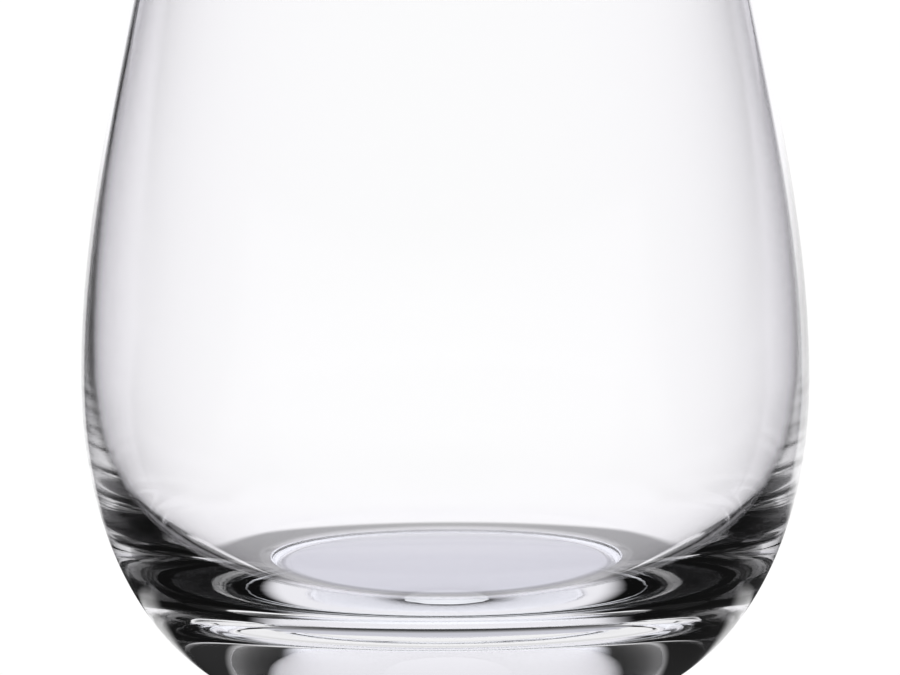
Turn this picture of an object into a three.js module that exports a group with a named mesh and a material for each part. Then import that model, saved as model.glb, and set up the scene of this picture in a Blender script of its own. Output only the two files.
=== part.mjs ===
// A stemless water glass: a thin blown bowl fused onto a heavy, solid base of the same clear glass.
// Millimetres, +Z up. The origin is the centre of the flat ring that the glass stands on.
// Each piece is a solid of revolution. Both take their outside from one profile, so the wall runs on unbroken.

import * as THREE from "three";

// Outside
const HEIGHT = 105; // table to the top of the rim
const RIM_DIAMETER = 69.9;
const BELLY_DIAMETER = 90; // the widest level
const BELLY_HEIGHT = 38.3; // table to the widest level
const FOOT_DIAMETER = 50; // outer edge of the standing ring

// How the outside bends: the length of each curve's handle, and the angle at which it leaves
const FOOT_SWEEP = 12.2;
const FOOT_ANGLE = 18; // degrees above the table
const BELLY_SWEEP_DOWN = 19.7;
const BELLY_SWEEP_UP = 23.6;
const RIM_SWEEP = 21;
const RIM_LEAN = 8; // degrees inwards from upright

// Inside
const RIM_WALL = 1.2;
const BELLY_WALL = 1.4; // at the widest level of the inside
const CAVITY_BELLY_HEIGHT = 41; // table to the widest level of the inside
const FLOOR_HEIGHT = 12.5; // table to the middle of the drinking floor
const FLOOR_DIAMETER = 49; // the nearly flat part of the floor
const FLOOR_DISH = 0.25; // how far the edge of the floor lies above its middle

// How the inside bends
const CAVITY_SWEEP_UP = 24;
const CAVITY_SWEEP_DOWN = 20.8;
const FLOOR_SWEEP = 9.4;

// Base
const SEAM_DEPTH = 2.5; // from the drinking floor down to the flat seam between bowl and base
const RING_WIDTH = 1.6; // flat standing ring
const HOLLOW_DEPTH = 0.8; // flat hollow of the underside, inside the ring
const HOLLOW_ROUND = 3.5; // width of the rounded step between hollow and ring

// Facets
const AROUND = 72;
const STEPS_LONG = 14; // along a tall curve of the wall
const STEPS_SHORT = 6; // along the rim, the floor, the base's side and the underside

const RIM_RADIUS = RIM_DIAMETER / 2;
const BELLY_RADIUS = BELLY_DIAMETER / 2;
const FOOT_RADIUS = FOOT_DIAMETER / 2;
const FLOOR_RADIUS = FLOOR_DIAMETER / 2;
const RIM_ROUND = RIM_WALL / 2; // the fire-polished edge is a half circle
const RIM_SPRING = HEIGHT - RIM_ROUND; // where that half circle starts
const SEAM_HEIGHT = FLOOR_HEIGHT - SEAM_DEPTH;

const point = (radius, height) => new THREE.Vector2(radius, height);

// A point that lies a handle's length from another, at an angle above the table
function handle(from, length, degrees) {
  const angle = THREE.MathUtils.degToRad(degrees);
  return point(from.x + length * Math.cos(angle), from.y + length * Math.sin(angle));
}

// The outside, from the foot up to the rim, in two curves that meet upright at the belly
const foot = point(FOOT_RADIUS, 0);
const belly = point(BELLY_RADIUS, BELLY_HEIGHT);
const rimOutside = point(RIM_RADIUS, RIM_SPRING);
const lowerSide = new THREE.CubicBezierCurve(
  foot,
  handle(foot, FOOT_SWEEP, FOOT_ANGLE),
  point(BELLY_RADIUS, BELLY_HEIGHT - BELLY_SWEEP_DOWN),
  belly,
);
const upperSide = new THREE.CubicBezierCurve(
  belly,
  point(BELLY_RADIUS, BELLY_HEIGHT + BELLY_SWEEP_UP),
  handle(rimOutside, RIM_SWEEP, RIM_LEAN - 90),
  rimOutside,
);

// The inside, from the rim down to the middle of the floor
const rimInside = point(RIM_RADIUS - RIM_WALL, RIM_SPRING);
const cavityBelly = point(BELLY_RADIUS - BELLY_WALL, CAVITY_BELLY_HEIGHT);
const floorEdge = point(FLOOR_RADIUS, FLOOR_HEIGHT + FLOOR_DISH);
const floorRise = THREE.MathUtils.radToDeg(Math.atan2(2 * FLOOR_DISH, FLOOR_RADIUS));
const upperInside = new THREE.CubicBezierCurve(
  rimInside,
  handle(rimInside, RIM_SWEEP, RIM_LEAN - 90),
  point(cavityBelly.x, CAVITY_BELLY_HEIGHT + CAVITY_SWEEP_UP),
  cavityBelly,
);
const lowerInside = new THREE.CubicBezierCurve(
  cavityBelly,
  point(cavityBelly.x, CAVITY_BELLY_HEIGHT - CAVITY_SWEEP_DOWN),
  handle(floorEdge, FLOOR_SWEEP, floorRise),
  floorEdge,
);
const floor = new THREE.QuadraticBezierCurve(
  floorEdge,
  point(FLOOR_RADIUS / 2, FLOOR_HEIGHT),
  point(0, FLOOR_HEIGHT),
);

// Where a curve that climbs steadily reaches a height, as its parameter from 0 to 1
function reaches(curve, height) {
  let low = 0;
  let high = 1;
  while (high - low > 1e-9) {
    const middle = (low + high) / 2;
    if (curve.getPoint(middle).y < height) low = middle;
    else high = middle;
  }
  return low;
}

// Points along a stretch of a curve, both ends included
function along(curve, start, end, steps) {
  const points = [];
  for (let i = 0; i <= steps; i += 1) points.push(curve.getPoint(start + ((end - start) * i) / steps));
  return points;
}

// The half circle of the fire-polished rim, from the outside over to the inside, without its two ends
function rimRound() {
  const points = [];
  for (let i = 1; i < STEPS_SHORT; i += 1) {
    const angle = (Math.PI * i) / STEPS_SHORT;
    const radius = RIM_RADIUS - RIM_ROUND + RIM_ROUND * Math.cos(angle);
    points.push(point(radius, RIM_SPRING + RIM_ROUND * Math.sin(angle)));
  }
  return points;
}

// The underside, from its middle outwards: a flat hollow that rounds down to the standing ring
function underside() {
  const ringInside = FOOT_RADIUS - RING_WIDTH;
  const hollowEdge = point(ringInside - HOLLOW_ROUND, HOLLOW_DEPTH);
  const bend = point(ringInside - HOLLOW_ROUND / 2, HOLLOW_DEPTH);
  const step = new THREE.QuadraticBezierCurve(hollowEdge, bend, point(ringInside, 0));
  return [point(0, HOLLOW_DEPTH), ...along(step, 0, 1, STEPS_SHORT)];
}

const seamAt = reaches(lowerSide, SEAM_HEIGHT);
const seamEdge = lowerSide.getPoint(seamAt);
seamEdge.y = SEAM_HEIGHT;

// The blown bowl: up the outside from the seam, over the rim, and down the inside to the floor
function bowlProfile() {
  return [
    point(0, SEAM_HEIGHT),
    seamEdge,
    ...along(lowerSide, seamAt, 1, STEPS_LONG).slice(1),
    ...along(upperSide, 0, 1, STEPS_LONG).slice(1),
    ...rimRound(),
    ...along(upperInside, 0, 1, STEPS_LONG),
    ...along(lowerInside, 0, 1, STEPS_LONG).slice(1),
    ...along(floor, 0, 1, STEPS_SHORT).slice(1),
  ];
}

// The solid base: out along the hollow and the standing ring, up its side, and back over the flat seam
function baseProfile() {
  return [
    ...underside(),
    ...along(lowerSide, 0, seamAt, STEPS_SHORT).slice(0, -1),
    seamEdge,
    point(0, SEAM_HEIGHT),
  ];
}

function clearGlass() {
  return new THREE.MeshStandardMaterial({
    color: 0xf3f5f7,
    roughness: 0.02,
    metalness: 0,
    transparent: true,
    opacity: 0.35,
  });
}

// A piece of glass, revolved about +Z
function revolve(name, profile) {
  const geometry = new THREE.LatheGeometry(profile, AROUND).rotateX(Math.PI / 2);
  const mesh = new THREE.Mesh(geometry, clearGlass());
  mesh.name = name;
  return mesh;
}

const waterGlass = new THREE.Group();
waterGlass.add(revolve("bowl", bowlProfile()), revolve("base", baseProfile()));

export default waterGlass;
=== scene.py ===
"""Looks of the water glass: one clear, fused body of glass on a pale floor.

It is lit from behind and from above, as for a catalogue photograph.
"""
import math

import bpy
import numpy as np
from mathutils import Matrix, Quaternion, Vector


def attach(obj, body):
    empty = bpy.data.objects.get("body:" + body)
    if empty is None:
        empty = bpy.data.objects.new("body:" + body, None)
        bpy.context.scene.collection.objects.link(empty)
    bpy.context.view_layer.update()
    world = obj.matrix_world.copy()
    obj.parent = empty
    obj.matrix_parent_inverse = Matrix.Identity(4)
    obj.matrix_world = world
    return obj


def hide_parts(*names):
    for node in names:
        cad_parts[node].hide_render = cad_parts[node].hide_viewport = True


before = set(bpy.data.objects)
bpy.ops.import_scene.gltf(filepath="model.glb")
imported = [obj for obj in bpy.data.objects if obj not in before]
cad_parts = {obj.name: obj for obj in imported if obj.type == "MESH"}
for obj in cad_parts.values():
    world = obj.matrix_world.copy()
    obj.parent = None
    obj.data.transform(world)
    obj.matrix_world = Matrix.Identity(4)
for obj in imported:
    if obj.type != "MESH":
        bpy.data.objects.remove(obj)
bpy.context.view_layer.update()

# Profile of the glass, in millimetres: the same values as the solids
HEIGHT = 105.0
RIM_RADIUS = 34.95
BELLY_RADIUS = 45.0
BELLY_HEIGHT = 38.3
FOOT_RADIUS = 25.0
FOOT_SWEEP = 12.2
FOOT_ANGLE = 18.0
BELLY_SWEEP_DOWN = 19.7
BELLY_SWEEP_UP = 23.6
RIM_SWEEP = 21.0
RIM_LEAN = 8.0
RIM_WALL = 1.2
BELLY_WALL = 1.4
CAVITY_BELLY_HEIGHT = 41.0
FLOOR_HEIGHT = 12.5
FLOOR_RADIUS = 24.5
FLOOR_DISH = 0.25
CAVITY_SWEEP_UP = 24.0
CAVITY_SWEEP_DOWN = 20.8
FLOOR_SWEEP = 9.4
RING_WIDTH = 1.6
HOLLOW_DEPTH = 0.8
HOLLOW_ROUND = 3.5
MILLIMETRE = 0.001

# Points along each stretch of the profile, and around the axis
POINTS_HOLLOW = 9
POINTS_STEP = 20
POINTS_RING = 5
POINTS_LOWER_WALL = 72
POINTS_UPPER_WALL = 60
POINTS_RIM = 13
POINTS_FLOOR = 16
AROUND = 288

# Glass: its faint lavender colour, darkened by painted shade from face-on to edge-on, faint waves in the
# base, and a trace of softness in the wall
TINT_AND_EDGE_SHADE_STOPS = [
    (0.0, (0.99, 0.99, 0.993)),
    (0.5, (0.984, 0.975, 1.0)),
    (0.9, (0.962, 0.945, 1.0)),
    (1.0, (0.9, 0.87, 0.93)),
]
GLASS_IOR = 1.52
GLASS_SPECULAR_TINT = (0.18, 0.18, 0.18, 1.0)
WAVE_SCALE = 60.0
WAVE_STRETCH = (1.0, 1.0, 6.0)
WAVE_STRENGTH = 0.003
WAVE_DEPTH = 0.001
WAVE_TOP = (0.018, 0.028)
WALL_ROUGHNESS = 0.05
WALL_BOTTOM = (0.024, 0.032)
WALL_TOP = (0.06, 0.08)
LIGHT_BOUNCES = 48

# Camera: where the photograph was taken from
IMAGE_WIDTH = 900
FOCAL_PIXELS = 7280.0
SENSOR_WIDTH = 36.0
CLIP_START = 0.01
CAMERA_DISTANCE = 0.9
CAMERA_ELEVATION = 9.0
CAMERA_ROLL = -0.28
AIM = Vector((0.0006, 0.0, 0.04345))

# Floor: its light, and how much of it is left in the painted shadow of the glass and as painted light
# under the glass, both seen only through the glass, with a painted cool tint under the glass
FLOOR_REACH = 30.0
FLOOR_LEVEL = -0.00005
FLOOR_LIGHT = 1.02
SHADOW = 0.33
SHADOW_EDGE = (0.0315, 0.034)
SHADOW_FORWARD = 0.0035
UNDER_GLASS_PAINTED_LIGHT = 0.68
UNDER_TINT = (0.955, 0.96, 1.05)
UNDER_EDGE = (0.0215, 0.0245)
UNDER_BACK = 0.003

# Painted reflection: as the glass mirrors it, the floor is painted dark beside the glass, and painted
# lit near it, behind it and in front
DARK_LEFT = 0.012
DARK_RIGHT = 0.03
DARK_TURN = (-0.04, 0.04)
DARK_FAR = 0.012
DARK_EDGE = (0.18, 0.3)
LANE_START = 0.113
LANE_LEFT = 19.4
LANE_RIGHT = 25.3
LANE_SOFT = 1.5
LANE_NEAR = (0.06, 0.11)
STRIP_LIGHT = 0.75
STRIP_HALF_WIDTH = 20.0
STRIP_SOFT = 3.0
NEAR_LIGHT = 0.9
NEAR_BACK = (0.042, 0.048)
NEAR_FRONT = (0.0, 0.01)
NEAR_EDGE = (0.052, 0.058)
BELOW_LIGHT = 0.6

# A low bright band in front, a lamp in the room and painted light on the floor as the glass mirrors it;
# light that has gone round in the wall many times sees it on all sides
FRONT_LIGHT = 0.85
FRONT_ANGLE = 112.0
FRONT_SOFT = 6.0
FRONT_TOP = (0.12, 0.17)
FRONT_NEAR = (0.12, 0.2)
DEEP = 17.5
DEEP_TOP = (0.2, 0.28)

# A white backdrop behind the glass, and a round softbox overhead that leans back over it
BACKDROP_LIGHT = 0.88
BACKDROP_TINT = (0.985, 0.98, 1.02)
BACKDROP_LEFT = 30.0
BACKDROP_RIGHT = 33.0
BACKDROP_SOFT = 5.0
BACKDROP_TOP = (0.6, 0.8)
SOFTBOX_LIGHT = 1.15
SOFTBOX_TINT = (0.96, 0.98, 1.03)
SOFTBOX_BACK = 0.68
SOFTBOX_RADIUS = 0.8
SOFTBOX_SOFT = 0.1
SOFTBOX_LOWEST = 0.05
ROOM_DARK = 0.004
HORIZON = (-0.004, 0.0)
WHITE = (1.0, 1.0, 1.0)


def bezier(points, count):
    """Points along a straight, quadratic or cubic curve, both ends included."""
    t = np.linspace(0.0, 1.0, count)[:, None]
    level = [np.array(p, float) for p in points]
    while len(level) > 1:
        level = [(1 - t) * a + t * b for a, b in zip(level, level[1:])]
    return level[0]


def handle(start, length, degrees):
    """The point that lies a handle's length from another, at an angle above the table."""
    angle = math.radians(degrees)
    return start[0] + length * math.cos(angle), start[1] + length * math.sin(angle)


def underside():
    """The flat hollow, the rounded step and the standing ring, from the axis outwards."""
    foot = (FOOT_RADIUS, 0.0)
    ring_inside = (FOOT_RADIUS - RING_WIDTH, 0.0)
    hollow_edge = (ring_inside[0] - HOLLOW_ROUND, HOLLOW_DEPTH)
    bend = (ring_inside[0] - HOLLOW_ROUND / 2, HOLLOW_DEPTH)
    return [
        bezier([(0.0, HOLLOW_DEPTH), hollow_edge], POINTS_HOLLOW),
        bezier([hollow_edge, bend, ring_inside], POINTS_STEP),
        bezier([ring_inside, foot], POINTS_RING),
    ]


def outside():
    """The outer wall in two curves that meet upright at the belly, and the half circle of the rim."""
    foot = (FOOT_RADIUS, 0.0)
    belly = (BELLY_RADIUS, BELLY_HEIGHT)
    below_belly = (BELLY_RADIUS, BELLY_HEIGHT - BELLY_SWEEP_DOWN)
    above_belly = (BELLY_RADIUS, BELLY_HEIGHT + BELLY_SWEEP_UP)
    spring = HEIGHT - RIM_WALL / 2
    rim = (RIM_RADIUS, spring)
    turn = np.linspace(0.0, math.pi, POINTS_RIM)
    radius = RIM_RADIUS - RIM_WALL / 2 * (1 - np.cos(turn))
    return [
        bezier([foot, handle(foot, FOOT_SWEEP, FOOT_ANGLE), below_belly, belly], POINTS_LOWER_WALL),
        bezier([belly, above_belly, handle(rim, RIM_SWEEP, RIM_LEAN - 90), rim], POINTS_UPPER_WALL),
        np.stack([radius, spring + RIM_WALL / 2 * np.sin(turn)], 1),
    ]


def inside():
    """The inner wall from the rim down, and the slightly dished drinking floor."""
    rim = (RIM_RADIUS - RIM_WALL, HEIGHT - RIM_WALL / 2)
    radius = BELLY_RADIUS - BELLY_WALL
    belly = (radius, CAVITY_BELLY_HEIGHT)
    above_belly = (radius, CAVITY_BELLY_HEIGHT + CAVITY_SWEEP_UP)
    below_belly = (radius, CAVITY_BELLY_HEIGHT - CAVITY_SWEEP_DOWN)
    edge = (FLOOR_RADIUS, FLOOR_HEIGHT + FLOOR_DISH)
    rise = math.degrees(math.atan2(2 * FLOOR_DISH, FLOOR_RADIUS))
    middle = (0.0, FLOOR_HEIGHT)
    return [
        bezier([rim, handle(rim, RIM_SWEEP, RIM_LEAN - 90), above_belly, belly], POINTS_UPPER_WALL),
        bezier([belly, below_belly, handle(edge, FLOOR_SWEEP, rise), edge], POINTS_LOWER_WALL),
        bezier([edge, (FLOOR_RADIUS / 2, FLOOR_HEIGHT), middle], POINTS_FLOOR),
    ]


def glass_profile():
    """The outline of half the glass, in metres, from the axis under it to the axis on its floor."""
    stretches = underside() + outside() + inside()
    return np.vstack([stretches[0]] + [stretch[1:] for stretch in stretches[1:]]) * MILLIMETRE


def revolve(name, profile, around):
    """A closed mesh: the profile turned about +Z, its first and last points on the axis."""
    turn = 2 * math.pi * np.arange(around) / around
    rings = profile[1:-1]
    verts = [(0.0, 0.0, profile[0, 1])]
    for radius, height in rings:
        verts.extend(zip(radius * np.cos(turn), radius * np.sin(turn), np.full(around, height)))
    verts.append((0.0, 0.0, profile[-1, 1]))
    top = len(verts) - 1
    last = 1 + (len(rings) - 1) * around
    faces = []
    for i in range(around):
        j = (i + 1) % around
        faces.append((0, 1 + j, 1 + i))
        for k in range(len(rings) - 1):
            start = 1 + k * around
            faces.append((start + i, start + j, start + around + j, start + around + i))
        faces.append((last + i, last + j, top))
    mesh = bpy.data.meshes.new(name)
    mesh.from_pydata(verts, [], faces)
    mesh.shade_smooth()
    mesh.update()
    piece = bpy.data.objects.new(name, mesh)
    bpy.context.scene.collection.objects.link(piece)
    return piece


class Nodes:
    """A short way to write a node tree."""

    def __init__(self, tree):
        self.tree = tree
        tree.nodes.clear()

    def add(self, kind, settings=(), **sockets):
        """A node, with its settings and its inputs: by name, or i0, i1 and so on by number."""
        node = self.tree.nodes.new("ShaderNode" + kind)
        for key, value in dict(settings).items():
            setattr(node, key, value)
        for key, value in sockets.items():
            numbered = key[0] == "i" and key[1:].isdigit()
            socket = node.inputs[int(key[1:]) if numbered else key.replace("_", " ")]
            if isinstance(value, bpy.types.NodeSocket):
                self.tree.links.new(value, socket)
            else:
                socket.default_value = value
        return node

    def math(self, operation, first, second=0.0):
        return self.add("Math", {"operation": operation}, i0=first, i1=second).outputs[0]

    def vector(self, operation, output, **sockets):
        return self.add("VectorMath", {"operation": operation}, **sockets).outputs[output]

    def fade(self, value, start, end, before, after):
        """A smooth change from one value to another."""
        smooth = {"interpolation_type": "SMOOTHSTEP"}
        node = self.add("MapRange", smooth, i0=value, i1=start, i2=end, i3=before, i4=after)
        return node.outputs[0]

    def choose(self, test, otherwise, chosen):
        """One value where a test of 0 or 1 holds, and another where it doesn't."""
        return self.add("MapRange", i0=test, i3=otherwise, i4=chosen).outputs[0]

    def reach(self, place, back):
        """How far a place lies from the glass's axis, or from a line that stands behind it."""
        moved = self.vector("SUBTRACT", "Vector", i0=place, i1=(0.0, back, 0.0))
        return self.vector("LENGTH", "Value", i0=moved)

    @staticmethod
    def around(degrees, soft):
        """The two ends of a soft edge, as angles."""
        return math.radians(degrees - soft), math.radians(degrees + soft)

    def ramp(self, value, stops):
        node = self.add("ValToRGB", Fac=value)
        elements = node.color_ramp.elements
        elements.remove(elements[1])
        elements[0].position = stops[0][0]
        elements[0].color = (*stops[0][1], 1.0)
        for position, colour in stops[1:]:
            elements.new(position).color = (*colour, 1.0)
        return node.outputs["Color"]


def clear_glass():
    """Colourless glass: a trace of lavender towards its edges, darkened there by painted shade, and
    faint waves in the pressed base.
    """
    material = bpy.data.materials.new("clear_glass")
    material.use_nodes = True
    nodes = Nodes(material.node_tree)
    place = nodes.add("TexCoord").outputs["Object"]
    facing = nodes.add("LayerWeight", Blend=0.5).outputs["Facing"]
    # The base colour from face-on to edge-on: the glass's faint lavender, and painted shade that darkens
    # it towards the edges.
    tint = nodes.ramp(facing, TINT_AND_EDGE_SHADE_STOPS)
    stretched = nodes.add("Mapping", Vector=place, Scale=WAVE_STRETCH).outputs["Vector"]
    noise = nodes.add("TexNoise", Vector=stretched, Scale=WAVE_SCALE, Detail=2.0, Roughness=0.5)
    level = nodes.add("SeparateXYZ", Vector=place).outputs["Z"]
    heavy = nodes.fade(level, *WAVE_TOP, WAVE_STRENGTH, 0.0)
    bump = nodes.add("Bump", Height=noise.outputs["Fac"], Strength=heavy, Distance=WAVE_DEPTH)
    wall = nodes.fade(level, *WALL_BOTTOM, 0.0, WALL_ROUGHNESS)
    wall = nodes.fade(level, *WALL_TOP, wall, 0.0)
    shader = nodes.add("BsdfPrincipled", Base_Color=tint, Roughness=wall, Normal=bump.outputs["Normal"])
    shader.inputs["IOR"].default_value = GLASS_IOR
    shader.inputs["Transmission Weight"].default_value = 1.0
    shader.inputs["Specular Tint"].default_value = GLASS_SPECULAR_TINT
    nodes.add("OutputMaterial", Surface=shader.outputs["BSDF"])
    return material


def painted_shadow_through_glass(nodes, place, through):
    """The floor as it shows beside and through the glass: white beside it, and through it a painted
    shadow of the glass and painted light under the glass.
    """
    # Painted shadow of the glass on the floor's glow, shifted forwards, and painted light under the
    # glass, dimmer than the open floor.
    shadow = nodes.fade(nodes.reach(place, -SHADOW_FORWARD), *SHADOW_EDGE, SHADOW, 1.0)
    under = nodes.fade(nodes.reach(place, UNDER_BACK), *UNDER_EDGE, UNDER_GLASS_PAINTED_LIGHT, shadow)
    return nodes.choose(through, 1.0, under)


def painted_floor_reflection(nodes, axes, distance, depth):
    """The floor as the glass mirrors it, a painted reflection: painted dark at both sides, and painted
    lit near, behind and in front.
    """
    across = axes.outputs["X"]
    back = axes.outputs["Y"]
    aside = nodes.math("ARCTAN2", across, nodes.math("ADD", back, LANE_START))
    left = nodes.fade(aside, *nodes.around(-LANE_LEFT, LANE_SOFT), 0.0, 1.0)
    right = nodes.fade(aside, *nodes.around(LANE_RIGHT, LANE_SOFT), 1.0, 0.0)
    behind = nodes.fade(back, *LANE_NEAR, 0.0, 1.0)
    lane = nodes.math("MULTIPLY", nodes.math("MULTIPLY", left, right), behind)
    turned = nodes.math("ABSOLUTE", nodes.math("ARCTAN2", across, back))
    strip = nodes.fade(turned, *nodes.around(STRIP_HALF_WIDTH, STRIP_SOFT), STRIP_LIGHT, 0.0)
    near = nodes.fade(distance, *NEAR_EDGE, NEAR_LIGHT, 0.0)
    near = nodes.math("MULTIPLY", near, nodes.fade(back, *NEAR_BACK, 1.0, 0.0))
    near = nodes.math("MULTIPLY", near, nodes.fade(back, *NEAR_FRONT, 0.0, 1.0))
    below = nodes.fade(distance, *UNDER_EDGE, BELOW_LIGHT, 0.0)
    front = nodes.fade(turned, *nodes.around(FRONT_ANGLE, FRONT_SOFT), 0.0, FRONT_LIGHT)
    front = nodes.math("MULTIPLY", front, nodes.fade(distance, *FRONT_NEAR, 0.0, 1.0))
    # Painted glow: for light that has gone round in the wall many times, the floor is lit everywhere.
    deep = nodes.math("GREATER_THAN", depth, DEEP)
    front = nodes.math("MAXIMUM", front, nodes.math("MULTIPLY", deep, FRONT_LIGHT))
    beside = nodes.fade(across, *DARK_TURN, DARK_LEFT, DARK_RIGHT)
    light = nodes.fade(distance, *DARK_EDGE, beside, DARK_FAR)
    for part in (lane, strip, near, below, front):
        light = nodes.math("MAXIMUM", light, part)
    return light


def floor_with_painted_light():
    """A white floor with its own even light where it is seen directly; through the glass it shows
    painted shadow and painted light, and the glass mirrors painted light and shade from it.
    """
    mesh = bpy.data.meshes.new("floor")
    r = FLOOR_REACH
    corners = [(-r, -r, FLOOR_LEVEL), (r, -r, FLOOR_LEVEL), (r, r, FLOOR_LEVEL), (-r, r, FLOOR_LEVEL)]
    mesh.from_pydata(corners, [], [(0, 1, 2, 3)])
    floor = bpy.data.objects.new("floor", mesh)
    bpy.context.scene.collection.objects.link(floor)
    material = bpy.data.materials.new("floor_with_painted_light")
    material.use_nodes = True
    nodes = Nodes(material.node_tree)
    place = nodes.add("NewGeometry").outputs["Position"]
    axes = nodes.add("SeparateXYZ", Vector=place)
    path = nodes.add("LightPath").outputs
    distance = nodes.reach(place, 0.0)
    through = nodes.math("GREATER_THAN", path["Transmission Depth"], 0.5)
    straight = nodes.math("LESS_THAN", path["Glossy Depth"], 0.5)
    # The painted light and shade that the glass mirrors from the floor.
    dark = painted_floor_reflection(nodes, axes, distance, path["Ray Depth"])
    # Straight rays see the painted shadow and painted light under the glass through it, mirrored rays
    # the painted reflection.
    lit = nodes.choose(straight, dark, painted_shadow_through_glass(nodes, place, through))
    light = nodes.math("MULTIPLY", lit, FLOOR_LIGHT)
    # Painted cool tint on the floor's glow under the glass, seen only through it.
    shade = nodes.fade(distance, *UNDER_EDGE, 1.0, 0.0)
    tint = nodes.ramp(nodes.math("MULTIPLY", shade, through), [(0.0, WHITE), (1.0, UNDER_TINT)])
    shader = nodes.add("Emission", Color=tint, Strength=light)
    nodes.add("OutputMaterial", Surface=shader.outputs["Emission"])
    mesh.materials.append(material)


def studio():
    """A dark room: a white backdrop, a round softbox overhead and a low bright band in front."""
    world = bpy.data.worlds.new("studio")
    bpy.context.scene.world = world
    world.use_nodes = True
    nodes = Nodes(world.node_tree)
    direction = nodes.add("TexCoord").outputs["Generated"]
    axes = nodes.add("SeparateXYZ", Vector=direction)
    up = axes.outputs["Z"]
    aside = nodes.math("ARCTAN2", axes.outputs["X"], axes.outputs["Y"])

    left = nodes.fade(aside, *nodes.around(-BACKDROP_LEFT, BACKDROP_SOFT), 0.0, 1.0)
    right = nodes.fade(aside, *nodes.around(BACKDROP_RIGHT, BACKDROP_SOFT), 1.0, 0.0)
    across = nodes.math("MULTIPLY", nodes.math("MULTIPLY", left, right), BACKDROP_LIGHT)
    backdrop = nodes.math("MULTIPLY", across, nodes.fade(up, *BACKDROP_TOP, 1.0, 0.0))

    level = nodes.vector("SCALE", "Vector", Vector=direction, Scale=nodes.math("DIVIDE", 1.0, up))
    moved = nodes.vector("SUBTRACT", "Vector", i0=level, i1=(0.0, SOFTBOX_BACK, 1.0))
    away = nodes.vector("LENGTH", "Value", i0=moved)
    edge = (SOFTBOX_RADIUS - SOFTBOX_SOFT, SOFTBOX_RADIUS + SOFTBOX_SOFT)
    overhead = nodes.math("GREATER_THAN", up, SOFTBOX_LOWEST)
    softbox = nodes.math("MULTIPLY", nodes.fade(away, *edge, SOFTBOX_LIGHT, 0.0), overhead)

    below = nodes.fade(up, *HORIZON, FLOOR_LIGHT, 0.0)
    turned = nodes.math("ABSOLUTE", aside)
    front = nodes.fade(turned, *nodes.around(FRONT_ANGLE, FRONT_SOFT), 0.0, 1.0)
    front = nodes.math("MULTIPLY", front, nodes.fade(up, *FRONT_TOP, FRONT_LIGHT, 0.0))
    deep = nodes.math("GREATER_THAN", nodes.add("LightPath").outputs["Ray Depth"], DEEP)
    low = nodes.fade(up, *DEEP_TOP, FRONT_LIGHT, 0.0)
    front = nodes.math("MAXIMUM", front, nodes.math("MULTIPLY", deep, low))

    light = nodes.add("CombineXYZ", X=ROOM_DARK, Y=ROOM_DARK, Z=ROOM_DARK).outputs["Vector"]
    sources = [(below, WHITE), (front, WHITE), (backdrop, BACKDROP_TINT), (softbox, SOFTBOX_TINT)]
    for strength, tint in sources:
        glow = nodes.vector("SCALE", "Vector", Vector=tint, Scale=strength)
        light = nodes.vector("MAXIMUM", "Vector", i0=light, i1=glow)
    nodes.add("OutputWorld", Surface=nodes.add("Background", Color=light).outputs["Background"])


def camera():
    """The photograph's viewpoint."""
    data = bpy.data.cameras.new("camera")
    data.sensor_width = SENSOR_WIDTH
    data.lens = SENSOR_WIDTH * FOCAL_PIXELS / IMAGE_WIDTH
    data.clip_start = CLIP_START
    stand = bpy.data.objects.new("camera", data)
    bpy.context.scene.collection.objects.link(stand)
    elevation = math.radians(CAMERA_ELEVATION)
    away = Vector((0.0, -math.cos(elevation), math.sin(elevation)))
    stand.location = AIM + CAMERA_DISTANCE * away
    level = (AIM - stand.location).to_track_quat("-Z", "Y")
    roll = Quaternion((0.0, 0.0, 1.0), math.radians(CAMERA_ROLL))
    stand.rotation_euler = (level @ roll).to_euler()
    bpy.context.scene.camera = stand


glass = revolve("glass", glass_profile(), AROUND)
glass.data.materials.append(clear_glass())
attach(glass, "root")
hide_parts("bowl", "base")
floor_with_painted_light()
studio()
camera()

scene = bpy.context.scene
scene.view_settings.view_transform = "Standard"
scene.cycles.max_bounces = LIGHT_BOUNCES
scene.cycles.transmission_bounces = LIGHT_BOUNCES
scene.cycles.glossy_bounces = LIGHT_BOUNCES
